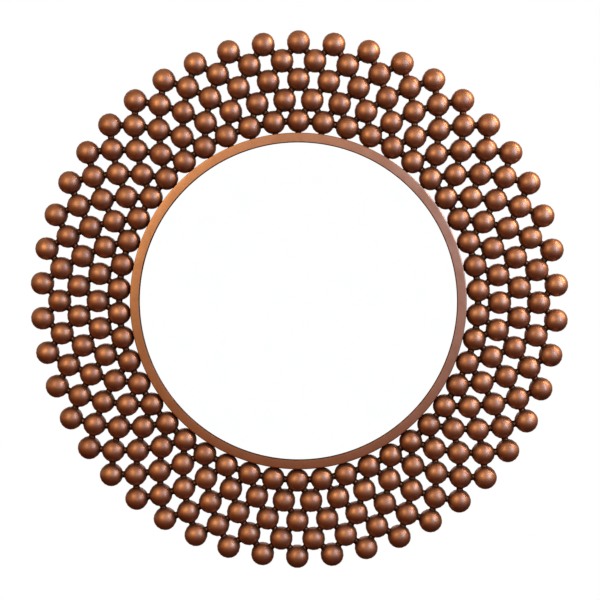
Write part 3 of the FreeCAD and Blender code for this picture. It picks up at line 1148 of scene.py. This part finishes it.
@dataclass
class Studio:
    """Camera, lamps, pale floor and white surroundings."""

    lamps: tuple[Lamp, ...] = (
        Lamp("warm_softbox", (-1.11, -2.18, 0.89), (1.1, 1.5), 17.0, "#fff2c6"),
        Lamp("cool_window", (1.67, -1.6, 0.7), (0.8, 1.6), 40.0, "#9ccbff"),
        Lamp("warm_kicker", (1.5, -0.22, 1.1), (0.2, 1.2), 21.0, "#ffe9be"),
        Lamp("rear_softbox", (0.0, 2.6, 0.9), (2.4, 1.2), 20.0, WHITE),
    )
    distance: float = 2.2
    azimuth: float = math.radians(1.63)
    elevation: float = math.radians(2.78)
    target: tuple[float, float, float] = (3.49 * MM, -23.0 * MM, 2.85 * MM)
    roll: float = math.radians(0.14)
    lens: float = 77.79
    sensor_width: float = 36.0
    floor_drop: float = -1.0
    floor_radius: float = 1.5
    floor_sides: int = 96
    floor_fade: tuple[float, float] = (0.3, 0.98)
    floor_colour: str = "#e6e4e0"
    below: str = "#4c2613"
    skirting: str = "#743719"
    above: str = "#b4a086"
    behind: str = "#968d83"
    ahead_left: str = "#d8bd80"
    ahead_right: str = "#9fcbff"
    ahead_gain: float = 1.5
    card: str = "#95bcff"
    card_gain: float = 3.4
    card_way: tuple[float, float, float] = (0.1, -1.0, 0.03)
    card_spread: tuple[float, float] = (math.radians(7), math.radians(2))
    spans: dict[str, Span] = field(
        default_factory=lambda: {
            "wall": Span("Z", -0.25, 0.08),
            "depth": Span("Z", -0.22, -0.6),
            "front": Span("Y", -0.45, -0.95),
            "rear": Span("Y", 0.6, 0.95),
            "right": Span("X", 0.08, 0.35, Easing.EVEN),
            "window": Span("Z", -0.08, 0.1, Easing.EVEN),
        }
    )

    def build(self) -> None:
        """Builds the whole studio."""
        bpy.context.scene.view_settings.view_transform = "Standard"
        self.camera()
        for lamp in self.lamps:
            lamp.build()
        self.floor()
        self.surroundings()

    def towards_camera(self) -> Vector:
        """Works out which way the camera stands.

        Returns:
            Direction from the mirror to the camera.
        """
        level = math.cos(self.elevation)
        across, out = math.sin(self.azimuth) * level, -math.cos(self.azimuth) * level
        return Vector((across, out, math.sin(self.elevation)))

    def camera(self) -> None:
        """Adds the camera where the photograph was taken from."""
        back = self.towards_camera()
        deselect_all()
        bpy.ops.object.camera_add(location=Vector(self.target) + back * self.distance)
        camera = bpy.context.object
        camera.name = "camera"
        camera.rotation_mode = "QUATERNION"
        camera.rotation_quaternion = (-back).to_track_quat("-Z", "Y") @ Quaternion((0, 0, 1), self.roll)
        camera.data.lens = self.lens
        camera.data.sensor_width = self.sensor_width
        bpy.context.scene.camera = camera

    def floor(self) -> None:
        """Adds the pale floor, well below the mirror, which fades to white at its rim."""
        deselect_all()
        bpy.ops.mesh.primitive_circle_add(
            vertices=self.floor_sides,
            radius=self.floor_radius,
            fill_type="NGON",
            location=(0, 0, self.floor_drop),
        )
        floor = bpy.context.object
        floor.name = "floor"
        paint = bpy.data.materials.new("pale_floor")
        paint.use_nodes = True
        paint.node_tree.nodes.clear()
        tree = paint.node_tree
        place = add_node(tree, "ShaderNodeTexCoord").outputs["Object"]
        reach = add_node(tree, "ShaderNodeVectorMath", {0: place}, operation="LENGTH").outputs["Value"]
        start, end = (share * self.floor_radius for share in self.floor_fade)
        fade = add_node(
            tree,
            "ShaderNodeMapRange",
            {"Value": reach, "From Min": start, "From Max": end},
            interpolation_type="SMOOTHSTEP",
        ).outputs["Result"]
        seen = add_node(tree, "ShaderNodeLightPath").outputs["Is Camera Ray"]
        amount = add_node(tree, "ShaderNodeMath", {0: fade, 1: seen}, operation="MULTIPLY").outputs[0]
        matt = add_node(tree, "ShaderNodeBsdfDiffuse", {"Color": linear(self.floor_colour)}).outputs["BSDF"]
        white = add_node(tree, "ShaderNodeEmission", {"Color": linear(WHITE), "Strength": 1.0}).outputs[0]
        surface = add_node(tree, "ShaderNodeMixShader", {0: amount, 1: matt, 2: white}).outputs["Shader"]
        add_node(tree, "ShaderNodeOutputMaterial", {"Surface": surface})
        floor.data.materials.append(paint)
        floor.visible_glossy = False

    def room(self, tree: bpy.types.NodeTree) -> bpy.types.NodeSocket:
        """Paints the soft dim room that the lacquer reflects.

        Args:
            tree: The world's nodes.

        Returns:
            The room's colour in each direction.
        """
        way = add_node(tree, "ShaderNodeTexCoord").outputs["Generated"]
        parts = add_node(tree, "ShaderNodeSeparateXYZ", {"Vector": way}).outputs
        share = {}
        for name, span in self.spans.items():
            share[name] = add_node(
                tree,
                "ShaderNodeMapRange",
                {"Value": parts[span.axis], "From Min": span.start, "From Max": span.end},
                interpolation_type=span.easing.value,
            ).outputs["Result"]
        facing = add_node(
            tree,
            "ShaderNodeVectorMath",
            {0: way, 1: Vector(self.card_way).normalized()},
            operation="DOT_PRODUCT",
        ).outputs["Value"]
        outer, inner = (math.cos(angle) for angle in self.card_spread)
        share["card"] = add_node(
            tree,
            "ShaderNodeMapRange",
            {"Value": facing, "From Min": outer, "From Max": inner},
            interpolation_type=Easing.SOFT.value,
        ).outputs["Result"]
        share["cool"] = add_node(
            tree, "ShaderNodeMath", {0: share["right"], 1: share["window"]}, operation="MULTIPLY"
        ).outputs[0]
        colour = {
            "skirting": linear(self.skirting),
            "below": linear(self.below),
            "above": linear(self.above),
            "behind": linear(self.behind),
            "ahead_left": linear(self.ahead_left),
            "ahead_right": [channel * self.ahead_gain for channel in linear(self.ahead_right)],
            "card": [channel * self.card_gain for channel in linear(self.card)],
        }
        # each row goes over the ones before it: its name, where it changes, and from what to what
        for name, where, first, second in (
            ("low", "depth", "skirting", "below"),
            ("ahead", "cool", "ahead_left", "ahead_right"),
            ("walls", "front", "above", "ahead"),
            ("standing", "wall", "low", "walls"),
            ("around", "rear", "standing", "behind"),
            ("room", "card", "around", "card"),
        ):
            colour[name] = add_node(
                tree,
                "ShaderNodeMix",
                {FACTOR: share[where], FIRST: colour[first], SECOND: colour[second]},
                data_type="RGBA",
            ).outputs[MIXED]
        return colour["room"]

    def surroundings(self) -> None:
        """Makes the world: white to the camera and in the glass, and the dim room to the lacquer."""
        world = bpy.data.worlds.new("studio")
        bpy.context.scene.world = world
        world.use_nodes = True
        tree = world.node_tree
        tree.nodes.clear()
        room = self.room(tree)
        path = add_node(tree, "ShaderNodeLightPath").outputs
        white = path["Is Camera Ray"]
        for ray in ("Is Transmission Ray", "Is Singular Ray"):
            white = add_node(
                tree, "ShaderNodeMath", {0: white, 1: path[ray]}, operation="MAXIMUM"
            ).outputs[0]
        colour = add_node(
            tree, "ShaderNodeMix", {FACTOR: white, FIRST: room, SECOND: linear(WHITE)}, data_type="RGBA"
        ).outputs[MIXED]
        light = add_node(tree, "ShaderNodeBackground", {"Color": colour, "Strength": 1.0})
        add_node(tree, "ShaderNodeOutputWorld", {"Surface": light.outputs["Background"]})


def main() -> None:
    """Builds the mirror and its studio."""
    logging.basicConfig(level=logging.INFO, format="%(name)s %(message)s")
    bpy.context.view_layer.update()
    for assembly in (BeadFrame(), Rim(), Glazing(), Hangers()):
        assembly.build()
    Studio().build()


if __name__ == "__main__":
    main()
